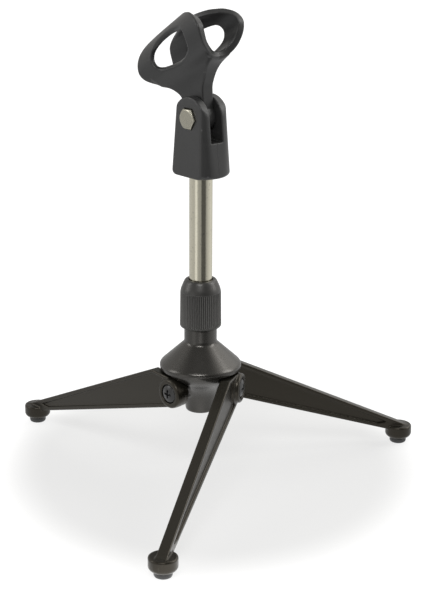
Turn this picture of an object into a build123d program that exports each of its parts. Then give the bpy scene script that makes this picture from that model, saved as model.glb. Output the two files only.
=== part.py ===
from build123d import *
import math
import os

# Desktop microphone stand: three legs on a cast hub, a column and a tilting clip.
# Millimetres, +Z up, modelled about the column axis. save() then puts the origin on
# the floor at the middle of the span of the foot centres.
# The microphone points towards -Y; the clip tilts about an axis parallel to X.
# Sketches on Plane.XZ have their normal along -Y, so a positive offset goes to -Y.
# Round lengths on cutters only have to carry them clear of the part.

# ---------------------------------------------------------------- shared dimensions
gap = 0.05                   # fit between mating parts
# column
tube_r = 6.0
tube_wall = 1.0
tube_bore_r = tube_r - tube_wall
tube_bottom_z = 83.9
tube_top_z = 165.0
stud_r = 4.7                 # 3/8 inch stud
# hub spigot and the collet seat inside it
spigot_r = 8.0
spigot_top_z = 98.0
collet_seat_r = 7.04
collet_seat_z = 84.0
# leg pivots
leg_angles = {"leg_left": 32.0, "leg_right": 152.0, "leg_rear": 272.0}
leg_offset = 18.15           # column axis to a leg's mid plane
leg_reach = 118.9            # pivot to foot, measured along the leg's plane
pivot_z = 51.3
lug_face = 14.5              # column axis to the lug face
screw_shoulder_r = 3.0
cbore_floor = 20.5           # column axis to the counterbore floor
# feet
cap_bottom_z = 3.0
pad_stem_r = 2.5
# tilt joint
tilt_z = 194.3
bolt_r = 3.0
hex_across_flats = 10.0
hex_seat_x = 6.2             # pocket floor, where the bolt head and the nut bear
# threaded insert and adapter
socket_r = 9.2
socket_top_z = 179.2
adapter_r = 7.94

# ---------------------------------------------------------------- placing and saving
os.makedirs("parts", exist_ok=True)


def outward(angle):
    """Direction from the column axis to the leg pivot at this angle."""
    return (math.sin(math.radians(angle)), -math.cos(math.radians(angle)), 0)


def outward_plane(angle, distance, z=0):
    """Plane facing a leg pivot, this far from the column axis."""
    return Plane(origin=(0, 0, z), z_dir=outward(angle)).offset(distance)


foot_x = [leg_offset * outward(a)[0] - leg_reach * math.cos(math.radians(a))
          for a in leg_angles.values()]
foot_y = [leg_offset * outward(a)[1] - leg_reach * math.sin(math.radians(a))
          for a in leg_angles.values()]
centre_x = (max(foot_x) + min(foot_x)) / 2
centre_y = (max(foot_y) + min(foot_y)) / 2


def save(part, name):
    part = part.moved(Location((-centre_x, -centre_y, 0)))
    part.label = name
    export_step(part, "parts/" + name + ".step")


def one_per_leg(part):
    return Compound(children=[part.rotate(Axis.Z, a) for a in leg_angles.values()])


# ---------------------------------------------------------------- hub
hub_bottom_z = 37.2
hub_bore_r = 6.25
hub_bore_floor_z = 40.0
rim_r = 21.4                 # widest point of the casting
rim_z = 62.3
neck_r = 8.55
hub_shoulder_z = 83.4
spigot_chamfer = 0.4
lug_r = 4.6
flat_top_z = 60.55
tapped_r = 2.0
tapped_from = 8.0            # column axis to the inner end of a tapped hole

with BuildPart() as hub:
    with BuildSketch(Plane.XZ):
        with BuildLine():
            Polyline((0, hub_bottom_z), (6.9, hub_bottom_z))
            bottom_bevel = Line((6.9, hub_bottom_z), (7.75, hub_bottom_z + 0.85))
            lower_wall = Line(bottom_bevel @ 1, (8.05, 40.0))
            flare = Spline(lower_wall @ 1, (8.55, 42.6), (9.3, 45.4), (10.4, 48.2),
                           (12.2, 51.0), (14.7, 53.7), (17.5, 56.2), (19.8, 58.6),
                           tangents=[(0.15, 1.0), (0.7, 1.0)])
            rim = Spline(flare @ 1, (20.95, 60.5), (rim_r, rim_z), (21.25, 63.4), (20.5, 64.4),
                         tangents=[(0.7, 1.0), (-1.0, 0.93)])
            cone = Line(rim @ 1, (9.6, 74.45))
            neck = Spline(cone @ 1, (8.9, 75.25), (neck_r, 76.6),
                          tangents=[(-1.0, 0.93), (0.0, 1.0)])
            Polyline(neck @ 1, (neck_r, hub_shoulder_z), (spigot_r, hub_shoulder_z),
                     (spigot_r, spigot_top_z - spigot_chamfer),
                     (spigot_r - spigot_chamfer, spigot_top_z), (0, spigot_top_z),
                     (0, hub_bottom_z))
        make_face()
    revolve(axis=Axis.Z)
    # three flats that clear the legs, then the radial lugs that carry them
    for angle in leg_angles.values():
        with BuildSketch(outward_plane(angle, lug_face)):
            Rectangle(120, 2 * flat_top_z)
        extrude(amount=20, mode=Mode.SUBTRACT)
    for angle in leg_angles.values():
        with BuildSketch(outward_plane(angle, 0, pivot_z)):
            Circle(lug_r)
        extrude(amount=lug_face)
    # bore for the tube and seat for the collet
    with BuildSketch(Plane.XY.offset(hub_bore_floor_z)):
        Circle(hub_bore_r)
    extrude(amount=80, mode=Mode.SUBTRACT)
    with BuildSketch(Plane.XY.offset(collet_seat_z)):
        Circle(collet_seat_r)
    extrude(amount=30, mode=Mode.SUBTRACT)
    # tapped holes for the leg screws
    for angle in leg_angles.values():
        with BuildSketch(outward_plane(angle, tapped_from, pivot_z)):
            Circle(tapped_r)
        extrude(amount=10, mode=Mode.SUBTRACT)
save(hub.part, "hub")

# ---------------------------------------------------------------- legs
# Built once with the pivot on -Y and the foot towards -X, then turned into place.
leg_thick = 5.6
eye_r = 7.85
boss_out = 23.0              # column axis to the boss face
cbore_r = 5.15
web_depth = 1.2
web_eye_r = 9.4              # full thickness is kept within this radius of the pivot
cap_r = 7.25
cap_top_z = 10.5
cap_bevel = 0.7
stem_hole_depth = 3.8
inner_face = Plane.XZ.offset(leg_offset - leg_thick / 2)
outer_face = Plane.XZ.offset(leg_offset + leg_thick / 2)
foot_axis = Axis((-leg_reach, -leg_offset, 0), (0, 0, 1))


def leg_top_z(along):
    return 12.3 + 0.465 * (leg_reach - along)


def leg_bottom_z(along):
    return 6.95 + 0.3065 * (leg_reach - along)


def at_foot(radius, z):
    """Profile point at this radius from the foot's axis."""
    return (-leg_reach + radius, z)


with BuildPart() as leg:
    with BuildSketch(inner_face):
        with BuildLine():
            Polyline((0, pivot_z + eye_r), (-15.9, 60.25), at_foot(-4.6, leg_top_z(leg_reach + 4.6)),
                     at_foot(-6.4, 7.6), at_foot(-6.4, 5.9),
                     at_foot(0, leg_bottom_z(leg_reach) - 0.3),
                     (0, pivot_z - eye_r), close=True)
        make_face()
        with Locations((0, pivot_z)):
            Circle(eye_r)
    extrude(amount=leg_thick)
    # the long top and bottom edges
    fillet(leg.edges().filter_by(lambda e: e.length > 95 and abs(e.center().Z - 33) < 20),
           radius=0.5)
    # boss around the screw
    with BuildSketch(Plane.XZ.offset(leg_offset)):
        with Locations((0, pivot_z)):
            Circle(eye_r)
    extrude(amount=boss_out - leg_offset)
    fillet(leg.faces().sort_by(Axis.Y)[0].edges(), radius=1.5)
    # recessed web on both sides
    for face_plane, depth in ((outer_face, -web_depth), (inner_face, web_depth)):
        with BuildSketch(face_plane, mode=Mode.PRIVATE) as web:
            with BuildLine():
                Polyline((-3.0, pivot_z + eye_r - 1.6), (-14.9, 58.5),
                         at_foot(7.5, leg_top_z(leg_reach - 7.5) - 2.5),
                         at_foot(13.5, leg_bottom_z(leg_reach - 13.5) + 2.0),
                         (-3.0, leg_bottom_z(3.0) + 2.2), close=True)
            make_face()
            with Locations((0, pivot_z)):
                Circle(web_eye_r, mode=Mode.SUBTRACT)
            fillet(web.vertices().filter_by(lambda v: v.X < -16), radius=0.8)
        extrude(web.sketch, amount=depth, mode=Mode.SUBTRACT)
    # foot cap, with a hole for the pad's stem
    with BuildSketch(Plane.XZ.offset(leg_offset)):
        with BuildLine():
            Polyline(at_foot(0, cap_bottom_z), at_foot(4.9, cap_bottom_z), at_foot(6.55, 4.1),
                     at_foot(cap_r, 5.6), at_foot(cap_r, cap_top_z - cap_bevel),
                     at_foot(cap_r - cap_bevel, cap_top_z), at_foot(0, cap_top_z), close=True)
        make_face()
    revolve(axis=foot_axis)
    with BuildSketch(Plane.XY.offset(cap_bottom_z)):
        with Locations((-leg_reach, -leg_offset)):
            Circle(pad_stem_r)
    extrude(amount=stem_hole_depth, mode=Mode.SUBTRACT)
    # screw hole and counterbore
    with BuildSketch(Plane.XZ.offset(10)):
        with Locations((0, pivot_z)):
            Circle(screw_shoulder_r + gap)
    extrude(amount=20, mode=Mode.SUBTRACT)
    with BuildSketch(Plane.XZ.offset(cbore_floor)):
        with Locations((0, pivot_z)):
            Circle(cbore_r)
    extrude(amount=5, mode=Mode.SUBTRACT)

# ---------------------------------------------------------------- foot pads
pad_r = 4.6
pad_stem_top_z = 6.5

with BuildPart() as foot_pad:
    with BuildSketch(Plane.XZ.offset(leg_offset)):
        with BuildLine():
            Polyline(at_foot(0, 0), at_foot(3.3, 0))
            pad_edge = ThreePointArc(at_foot(3.3, 0), at_foot(4.25, 0.4), at_foot(pad_r, 1.35))
            Polyline(pad_edge @ 1, at_foot(pad_r - 0.1, cap_bottom_z),
                     at_foot(pad_stem_r, cap_bottom_z), at_foot(pad_stem_r, pad_stem_top_z),
                     at_foot(0, pad_stem_top_z), at_foot(0, 0))
        make_face()
    revolve(axis=foot_axis)

for name, angle in leg_angles.items():
    save(leg.part.rotate(Axis.Z, angle), name)
    save(foot_pad.part.rotate(Axis.Z, angle), name.replace("leg_", "foot_pad_"))

# ---------------------------------------------------------------- leg screws and washers
# Distances along the screw are from the column axis.
screw_tip = 8.6
thread_r = 1.95
head_under = cbore_floor + gap
head_rim = 22.45
head_r = 4.9
recess_from = 24.05
recess_depth = 1.7
recess_span = 4.6
recess_width = 1.0
washer_r = 5.2
washer_thick = 0.8


def at_screw(out, radius):
    """Profile point this far out along the screw, in the YZ plane."""
    return (-out, pivot_z + radius)


with BuildPart() as screw:
    with BuildSketch(Plane.YZ):
        with BuildLine():
            Polyline(at_screw(screw_tip, 0), at_screw(screw_tip, thread_r),
                     at_screw(lug_face, thread_r), at_screw(lug_face, screw_shoulder_r),
                     at_screw(head_under, screw_shoulder_r), at_screw(head_under, head_r),
                     at_screw(head_rim, head_r))
            dome = Spline(at_screw(head_rim, head_r), at_screw(23.2, 4.3), at_screw(23.6, 2.4),
                          at_screw(23.7, 0), tangents=[(-1.0, 0.0), (0.0, -1.0)])
            Line(dome @ 1, at_screw(screw_tip, 0))
        make_face()
    revolve(axis=Axis((0, 0, pivot_z), (0, -1, 0)))
    # cross recess
    with BuildSketch(Plane.XZ.offset(recess_from)):
        with Locations((0, pivot_z)):
            Rectangle(recess_span, recess_width)
            Rectangle(recess_width, recess_span)
    extrude(amount=-recess_depth, mode=Mode.SUBTRACT)
save(one_per_leg(screw.part), "leg_pivot_screws")

with BuildPart() as washer:
    with BuildSketch(Plane.XZ.offset(lug_face)):
        with Locations((0, pivot_z)):
            Circle(washer_r)
            Circle(screw_shoulder_r + 0.1, mode=Mode.SUBTRACT)
    extrude(amount=washer_thick)
save(one_per_leg(washer.part), "leg_pivot_washers")

# ---------------------------------------------------------------- collet
collet_bore_r = tube_r + 0.04
collet_r = 7.0
collet_bottom_z = collet_seat_z + gap
collet_lip_r = 7.75
collet_lip_z = 98.2
collet_top_z = 105.5
slit_width = 1.0

with BuildPart() as collet:
    with BuildSketch(Plane.XZ):
        with BuildLine():
            Polyline((collet_bore_r, collet_bottom_z), (collet_r, collet_bottom_z),
                     (collet_r, collet_lip_z), (collet_lip_r, collet_lip_z), (collet_lip_r, 99.0),
                     (6.9, collet_top_z), (collet_bore_r, collet_top_z), close=True)
        make_face()
    revolve(axis=Axis.Z)
    # slit through the wall on +X
    with BuildSketch(Plane.XY.offset(80)):
        with Locations((7, 0)):
            Rectangle(6, slit_width)
    extrude(amount=30, mode=Mode.SUBTRACT)
save(collet.part, "collet")

# ---------------------------------------------------------------- clutch collar
collar_bottom_z = 83.7
collar_top_z = 109.4
collar_r = 10.8
collar_bore_r = 8.06
collar_mouth_r = 6.35
knurl_bottom_z = 85.0
knurl_top_z = 101.9
knurl_count = 60
knurl_square = 0.85          # side of the square cutter, set corner inwards
knurl_centre_r = collar_r + 0.28

with BuildPart() as collar:
    with BuildSketch(Plane.XZ):
        with BuildLine():
            Polyline((collar_bore_r, collar_bottom_z), (9.85, collar_bottom_z))
            bottom_round = ThreePointArc((9.85, collar_bottom_z), (10.52, collar_bottom_z + 0.28),
                                         (collar_r, collar_bottom_z + 0.95))
            grip_line = Line(bottom_round @ 1, (10.6, knurl_top_z))
            crown = Spline(grip_line @ 1, (10.45, 103.4), (9.95, 105.2), (9.1, 107.2), (8.3, 108.8),
                           tangents=[(0.0, 1.0), (-0.55, 1.0)])
            Polyline(crown @ 1, (7.5, collar_top_z), (collar_mouth_r, collar_top_z),
                     (collar_mouth_r, 106.3), (7.1, 106.3), (collar_bore_r, 99.3),
                     (collar_bore_r, collar_bottom_z))
        make_face()
    revolve(axis=Axis.Z)
    with BuildSketch(Plane.XY.offset(knurl_bottom_z)):
        with PolarLocations(knurl_centre_r, knurl_count):
            Rectangle(knurl_square, knurl_square, rotation=45)
    extrude(amount=knurl_top_z - knurl_bottom_z, mode=Mode.SUBTRACT)
save(collar.part, "collar")

# ---------------------------------------------------------------- tube, plug and stud
plug_flange_r = 6.2
plug_flange_thick = 3.0
plug_depth = 8.0             # length inside the tube
stud_root = 14               # length inside the tube
stud_len = 11.5

with BuildPart() as tube:
    with BuildSketch(Plane.XY.offset(tube_bottom_z)):
        Circle(tube_r)
        Circle(tube_bore_r, mode=Mode.SUBTRACT)
    extrude(amount=tube_top_z - tube_bottom_z)
save(tube.part, "tube")

with BuildPart() as tube_plug:
    with BuildSketch(Plane.XY.offset(tube_bottom_z - plug_flange_thick)):
        Circle(plug_flange_r)
    extrude(amount=plug_flange_thick)
    chamfer(tube_plug.edges().sort_by(Axis.Z)[0], length=0.6)
    with BuildSketch(Plane.XY.offset(tube_bottom_z)):
        Circle(tube_bore_r)
    extrude(amount=plug_depth)
save(tube_plug.part, "tube_end_plug")

with BuildPart() as stud:
    with BuildSketch(Plane.XY.offset(tube_top_z - stud_root)):
        Circle(tube_bore_r)
    extrude(amount=stud_root)
    with BuildSketch(Plane.XY.offset(tube_top_z)):
        Circle(stud_r)
    extrude(amount=stud_len)
    chamfer(stud.edges().sort_by(Axis.Z)[-1], length=0.8)
save(stud.part, "top_stud")

# ---------------------------------------------------------------- fork base
fork_bottom_z = 164.6
fork_bottom_r = 14.75
fork_pivot_r = 12.9          # radius at the height of the tilt axis
fork_blank_top_z = 205.75    # the blank before the arch is cut
arch_r = 11.35
arch_z = tilt_z - 0.4        # centre of the arch
slot_half = 3.9
slot_floor_z = 182.8

with BuildPart() as fork:
    with BuildSketch(Plane.XZ):
        with BuildLine():
            Polyline((0, fork_bottom_z), (12.6, fork_bottom_z))
            base_round = ThreePointArc((12.6, fork_bottom_z), (14.1, fork_bottom_z + 0.65),
                                       (fork_bottom_r, fork_bottom_z + 2.2))
            Polyline(base_round @ 1, (fork_pivot_r, tilt_z),
                     (fork_pivot_r - 0.75, fork_blank_top_z),
                     (0, fork_blank_top_z), (0, fork_bottom_z))
        make_face()
    revolve(axis=Axis.Z)
    # arch profile seen along the tilt axis
    with BuildSketch(Plane.YZ.offset(-20)):
        with Locations((0, 190)):
            Rectangle(60, 60)
        with BuildLine():
            Polyline((-arch_r, arch_z), (-14.9, 160), (14.9, 160), (arch_r, arch_z))
            ThreePointArc((arch_r, arch_z), (0, arch_z + arch_r), (-arch_r, arch_z))
        make_face(mode=Mode.SUBTRACT)
    extrude(amount=40, mode=Mode.SUBTRACT)
    # slightly tapered flats on both sides
    with BuildSketch(Plane.XZ):
        with BuildLine():
            Polyline((10.33, 160), (25, 160), (25, 210), (8.01, 210), close=True)
        make_face()
        mirror(about=Plane.YZ)
    extrude(amount=30, both=True, mode=Mode.SUBTRACT)
    fillet(fork.edges().filter_by(lambda e: e.center().Z > 183 and abs(e.center().X) > 7.0),
           radius=0.9)
    # slot for the blade
    with BuildSketch(Plane.XZ):
        with Locations((0, slot_floor_z + 20)):
            Rectangle(2 * slot_half, 40)
    extrude(amount=30, both=True, mode=Mode.SUBTRACT)
    # bolt hole and the two hexagon pockets
    with BuildSketch(Plane.YZ):
        with Locations((0, tilt_z)):
            Circle(bolt_r + gap)
    extrude(amount=20, both=True, mode=Mode.SUBTRACT)
    for side in (-1, 1):
        with BuildSketch(Plane.YZ.offset(side * hex_seat_x)):
            with Locations((0, tilt_z)):
                RegularPolygon(radius=(hex_across_flats + 0.3) / 2, side_count=6,
                               major_radius=False)
        extrude(amount=side * 8, mode=Mode.SUBTRACT)
    # socket for the threaded insert
    with BuildSketch(Plane.XY.offset(fork_bottom_z - 1)):
        Circle(socket_r)
    extrude(amount=socket_top_z - fork_bottom_z + 1, mode=Mode.SUBTRACT)
save(fork.part, "fork_base")

# ---------------------------------------------------------------- threaded insert and adapter
insert_bottom_z = 165.4
adapter_len = 13.0

with BuildPart() as insert:
    with BuildSketch(Plane.XY.offset(insert_bottom_z)):
        Circle(socket_r)
        Circle(adapter_r, mode=Mode.SUBTRACT)
    extrude(amount=socket_top_z - insert_bottom_z)
save(insert.part, "thread_insert")

with BuildPart() as adapter:
    with BuildSketch(Plane.XY.offset(tube_top_z + gap)):
        Circle(adapter_r)
        Circle(stud_r + gap, mode=Mode.SUBTRACT)
    extrude(amount=adapter_len)
save(adapter.part, "thread_adapter")

# ---------------------------------------------------------------- pivot bolt and nut
bolt_head_height = 4.0
bolt_len = 18.0
nut_height = 5.0
tilt_axis = Axis((0, 0, tilt_z), (1, 0, 0))


def at_tilt(x, radius):
    """Profile point at this radius from the tilt axis, in the XZ plane."""
    return (x, tilt_z + radius)


with BuildPart() as bolt:
    with BuildSketch(Plane.YZ.offset(-hex_seat_x)):
        with Locations((0, tilt_z)):
            RegularPolygon(radius=hex_across_flats / 2, side_count=6, major_radius=False)
    extrude(amount=-bolt_head_height)
    # a cone takes the corners off the outer face
    with BuildSketch(Plane.XZ, mode=Mode.PRIVATE) as head_cone:
        with BuildLine():
            Polyline(at_tilt(-11, 0), at_tilt(-5, 0), at_tilt(-5, 9), at_tilt(-8.6, 6.9),
                     at_tilt(-10.2, 4.35), at_tilt(-11, 4.35), close=True)
        make_face()
    revolve(head_cone.sketch, axis=tilt_axis, mode=Mode.INTERSECT)
    with BuildSketch(Plane.YZ.offset(-hex_seat_x)):
        with Locations((0, tilt_z)):
            Circle(bolt_r)
    extrude(amount=bolt_len)
    chamfer(bolt.edges().sort_by(Axis.X)[-1], length=0.6)
save(bolt.part, "pivot_bolt")

with BuildPart() as nut:
    with BuildSketch(Plane.YZ.offset(hex_seat_x)):
        with Locations((0, tilt_z)):
            RegularPolygon(radius=hex_across_flats / 2, side_count=6, major_radius=False)
    extrude(amount=nut_height)
    with BuildSketch(Plane.XZ, mode=Mode.PRIVATE) as nut_cone:
        with BuildLine():
            Polyline(at_tilt(12, 0), at_tilt(5, 0), at_tilt(5, 9), at_tilt(9.6, 6.9),
                     at_tilt(11.2, 4.6), at_tilt(12, 4.6), close=True)
        make_face()
    revolve(nut_cone.sketch, axis=tilt_axis, mode=Mode.INTERSECT)
    with BuildSketch(Plane.YZ):
        with Locations((0, tilt_z)):
            Circle(bolt_r)
    extrude(amount=20, mode=Mode.SUBTRACT)
save(nut.part, "pivot_nut")

# ---------------------------------------------------------------- microphone clip
# Side view: along the channel (positive to the front), then up across it.
tilt_deg = 30.7              # channel pitch above the horizontal
axis_rise = 40.2             # channel axis above the tilt axis, on the column axis
channel_r = 11.4             # grip radius of the front seat
seat_from = 4.5              # the seat starts here along the channel
shell_rear, shell_front = -43, 19
blade_half = 3.75
blade_eye_r = 7.2
stem_top = -8.0
mouth_r = 26                 # reach of the mouth cutter's lower corners

tilt_cos, tilt_sin = math.cos(math.radians(tilt_deg)), math.sin(math.radians(tilt_deg))
axis_dir = (0, -tilt_cos, tilt_sin)          # towards the microphone's head
channel_origin = (0, 0, tilt_z + axis_rise)
side_view = Plane(origin=channel_origin, x_dir=axis_dir, z_dir=(-1, 0, 0))
channel_axis = Axis(channel_origin, axis_dir)
pivot_along, pivot_up = -axis_rise * tilt_sin, -axis_rise * tilt_cos


def shell_r(along):
    return 14.2 + 0.0400 * (along + 10.0)


def station(along):
    """Plane across the channel, facing forward."""
    return Plane(origin=(0, -along * tilt_cos, tilt_z + axis_rise + along * tilt_sin),
                 x_dir=(1, 0, 0), z_dir=axis_dir)


# rim of the arms and flanks of the stem: (along, up)
rim_front = [
    (14.0, 20.0), (14.9, 8.0), (15.6, 3.0), (16.2, -0.4), (15.2, -4.3), (12.5, -9.1),
    (9.5, -12.7), (6.1, -14.6), (2.2, -15.8), (-1.7, -17.9), (-4.9, -20.5), (-8.1, -23.4),
    (-9.8, -27.0)]
rim_rear = [
    (-25.3, -26.0), (-26.0, -21.0), (-27.5, -18.4), (-29.5, -15.4), (-32.4, -12.8),
    (-36.6, -8.5), (-38.7, -5.7), (-40.0, -2.4), (-39.8, 1.4), (-38.4, 6.0), (-36.6, 20.0)]
# stem flank seen along the channel: (across, up)
stem_flank = [(blade_half, -20.5), (4.2, -17.9), (5.3, -15.5), (7.4, -12.4), (11.0, -9.0)]
# arm tips: (along, degrees round the channel from its lowest line)
tips = [
    (21.0, 88.0), (17.5, 96.0), (14.4, 110.5), (12.3, 120.3), (5.9, 137.7), (-0.4, 152.0),
    (-4.8, 159.5), (-9.6, 161.5), (-18.3, 159.0), (-26.8, 149.5), (-34.2, 137.0),
    (-38.0, 116.0), (-40.5, 98.0), (-43.0, 88.0)]
# window edge, in the same columns as the tips
window_edge = [
    (1.3, 113.2), (-2.5, 118.5), (-6.1, 122.5), (-10.7, 125.5), (-15.4, 124.5), (-20.6, 118.6),
    (-24.6, 108.0), (-26.4, 94.0), (-26.6, 81.2), (-26.1, 70.8), (-24.1, 64.0), (-21.8, 59.6),
    (-18.1, 55.5), (-14.4, 50.5), (-10.1, 47.5), (-5.2, 51.0), (-1.2, 57.8), (2.2, 66.5),
    (3.8, 79.0), (4.2, 92.2), (3.1, 105.2)]
window_points = [(along, -(shell_r(along) - 1.4) * math.cos(math.radians(angle)))
                 for along, angle in window_edge]

with BuildPart() as shell:
    # tapered channel shell
    with BuildSketch(side_view):
        Polygon((shell_rear, 0), (shell_rear, shell_r(shell_rear)),
                (shell_front, shell_r(shell_front)), (shell_front, 0), align=None)
    revolve(axis=channel_axis)
    # side outline of the arms and the flanks of the stem
    with BuildSketch(side_view):
        with BuildLine():
            Spline(*rim_front)
            Polyline(rim_front[-1], rim_rear[0])
            Spline(*rim_rear)
            Polyline(rim_rear[-1], rim_front[0])
        make_face()
    extrude(amount=30, both=True, mode=Mode.INTERSECT)

# stem: blade widening into the channel, where its side and front outlines cross
with BuildSketch(side_view) as stem_side:
    with BuildLine():
        Polyline((rim_rear[4][0], stem_top), rim_rear[4])
        Spline(*rim_rear[4::-1])
        Polyline(rim_rear[0], rim_front[-1])
        Spline(*rim_front[:-7:-1])
        Polyline(rim_front[-6], (8.0, stem_top), (rim_rear[4][0], stem_top))
    make_face()
with BuildSketch(station(shell_front)) as stem_front:
    with BuildLine():
        Polyline((-blade_half, -20.5), (-blade_half, -27.0), (blade_half, -27.0),
                 (blade_half, -20.5))
        Spline(*stem_flank, tangents=[(0, 1), (1, 0.8)])
        Polyline((11.0, -9.0), (0, -5), (-11.0, -9.0))
        Spline(*[(-x, y) for x, y in stem_flank], tangents=[(0, 1), (-1, 0.8)])
    make_face()
stem_from_side = extrude(stem_side.sketch, amount=20, both=True)
stem_from_front = extrude(stem_front.sketch, amount=-100)

with BuildPart() as clip:
    add(shell.part)
    add(stem_from_side & stem_from_front)
    # blade around the bolt
    with BuildSketch(side_view):
        with BuildLine():
            Polyline(rim_rear[0], rim_front[-1],
                     (pivot_along + blade_eye_r * 0.86, pivot_up - blade_eye_r * 0.50),
                     (pivot_along - blade_eye_r * 0.99, pivot_up - blade_eye_r * 0.10), close=True)
        make_face()
        with Locations((pivot_along, pivot_up)):
            Circle(blade_eye_r)
    extrude(amount=blade_half, both=True)
    # grip: round seat at the front, tapering towards the cable end
    with BuildSketch(side_view):
        Polygon((-46, 0), (-46, channel_r - 0.6), (seat_from, channel_r), (22, channel_r),
                (22, 0), align=None)
    revolve(axis=channel_axis, mode=Mode.SUBTRACT)
    # mouth between the arm tips
    for along, angle in tips:
        with BuildSketch(station(along)):
            x = mouth_r * math.sin(math.radians(angle))
            y = -mouth_r * math.cos(math.radians(angle))
            Polygon((0, -0.5), (x, y), (x, 30), (-x, 30), (-x, y), align=None)
    loft(ruled=True, mode=Mode.SUBTRACT)
    # the two windows
    with BuildSketch(side_view):
        with BuildLine():
            Spline(*window_points, periodic=True)
        make_face()
    extrude(amount=30, both=True, mode=Mode.SUBTRACT)
    # bolt hole
    with BuildSketch(Plane.YZ):
        with Locations((0, tilt_z)):
            Circle(bolt_r + 0.06)
    extrude(amount=20, both=True, mode=Mode.SUBTRACT)
save(clip.part, "mic_clip")
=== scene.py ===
"""Table stand for a microphone: three legs on a hub, a column with a collar, a fork and a clip.

Shapes are in millimetres about the column's axis, +z up, with the floor at z = 0. `piece`
turns them into metres in the frame. Materials, lights and camera are in metres.
"""
import bpy
import math
import numpy as np
import openvdb as vdb
from functools import partialmethod
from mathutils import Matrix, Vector


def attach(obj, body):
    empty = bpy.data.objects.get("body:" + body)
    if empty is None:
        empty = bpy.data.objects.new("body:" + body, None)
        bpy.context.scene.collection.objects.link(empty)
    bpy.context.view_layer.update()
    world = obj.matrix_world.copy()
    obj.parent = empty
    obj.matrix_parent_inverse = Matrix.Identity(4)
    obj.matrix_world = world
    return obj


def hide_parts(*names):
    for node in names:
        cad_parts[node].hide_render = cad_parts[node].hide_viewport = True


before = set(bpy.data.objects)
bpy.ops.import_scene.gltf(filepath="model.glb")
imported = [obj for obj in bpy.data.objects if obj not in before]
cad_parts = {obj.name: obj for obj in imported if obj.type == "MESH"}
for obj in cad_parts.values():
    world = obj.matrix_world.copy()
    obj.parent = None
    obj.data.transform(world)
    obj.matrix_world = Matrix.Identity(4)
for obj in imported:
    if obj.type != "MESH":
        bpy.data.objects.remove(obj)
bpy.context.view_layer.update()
scene = bpy.context.scene

AXIS = np.array([-0.011144247, -0.019897335, 0.0])    # the column's axis in the frame, metres
LEG_ANGLES = {"left": 32.0, "right": 152.0, "rear": 272.0}
TILT_Z = 194.3          # height of the clip's tilt bolt
SPLINE_STEPS = 8        # points in each span of a spline
PULL_STEPS = 3          # moves that bring mesh corners on to the surface
GRADIENT_STEP = 0.02


# ------------------------------------------------------------------ surface tools
# Fields are signed distances, negative inside.
def soft_min(first, second, reach):
    """Union with a fillet."""
    share = np.clip(0.5 + 0.5 * (second - first) / reach, 0, 1)
    return second + (first - second) * share - reach * share * (1 - share)


def round_max(first, second, radius):
    """Intersection with a rounded edge."""
    over_first = np.maximum(first + radius, 0)
    over_second = np.maximum(second + radius, 0)
    sharp = np.maximum(first, second)
    rounded = np.sqrt(over_first * over_first + over_second * over_second) - radius
    return np.where(sharp < -radius, sharp, rounded)


def round_min(first, second, radius):
    """Union with a rounded inner corner."""
    return -round_max(-first, -second, radius)


def between(t, start, end, first, second):
    return (end - t) / (end - start) * first + (t - start) / (end - start) * second


def spline(points, closed=False):
    """Centripetal Catmull-Rom through the points."""
    points = np.array(points, float)
    if closed:
        padded = np.vstack([points[-1:], points, points[:2]])
    else:
        padded = np.vstack([2 * points[0] - points[1], points, 2 * points[-1] - points[-2]])
    curve = []
    for i in range(1, len(padded) - 2):
        p0, p1, p2, p3 = padded[i - 1:i + 3]
        knots = [0.0]
        for gap in (p1 - p0, p2 - p1, p3 - p2):
            knots.append(knots[-1] + max(np.linalg.norm(gap), 1e-6) ** 0.5)
        t0, t1, t2, t3 = knots
        t = np.linspace(t1, t2, SPLINE_STEPS, endpoint=False)[:, None]
        a1 = between(t, t0, t1, p0, p1)
        a2 = between(t, t1, t2, p1, p2)
        a3 = between(t, t2, t3, p2, p3)
        b1 = between(t, t0, t2, a1, a2)
        b2 = between(t, t1, t3, a2, a3)
        curve.append(between(t, t1, t2, b1, b2))
    if not closed:
        curve.append(points[-1:])
    return np.vstack(curve)


def arc(centre, radius, angles):
    """Points of a circular arc, angles in degrees."""
    return [(centre[0] + radius * math.cos(t), centre[1] + radius * math.sin(t))
            for t in np.radians(angles)]


def polygon_distance(x, y, polygon):
    """Signed distance to a closed polygon, negative inside."""
    x = x.ravel()
    y = y.ravel()
    nearest = np.full(x.shape, 1e9)
    inside = np.zeros(x.shape, bool)
    for (ax, ay), (bx, by) in zip(polygon, np.roll(polygon, -1, axis=0)):
        ex, ey = bx - ax, by - ay
        squared = ex * ex + ey * ey
        if squared < 1e-12:
            continue
        wx, wy = x - ax, y - ay
        t = np.clip((wx * ex + wy * ey) / squared, 0, 1)
        dx, dy = wx - ex * t, wy - ey * t
        np.minimum(nearest, dx * dx + dy * dy, out=nearest)
        crossed = ((ay <= y) & (y < by)) | ((by <= y) & (y < ay))
        if ey != 0:
            inside ^= crossed & (x < ax + (y - ay) * ex / ey)
    distance = np.sqrt(nearest)
    return np.where(inside, -distance, distance)


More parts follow.
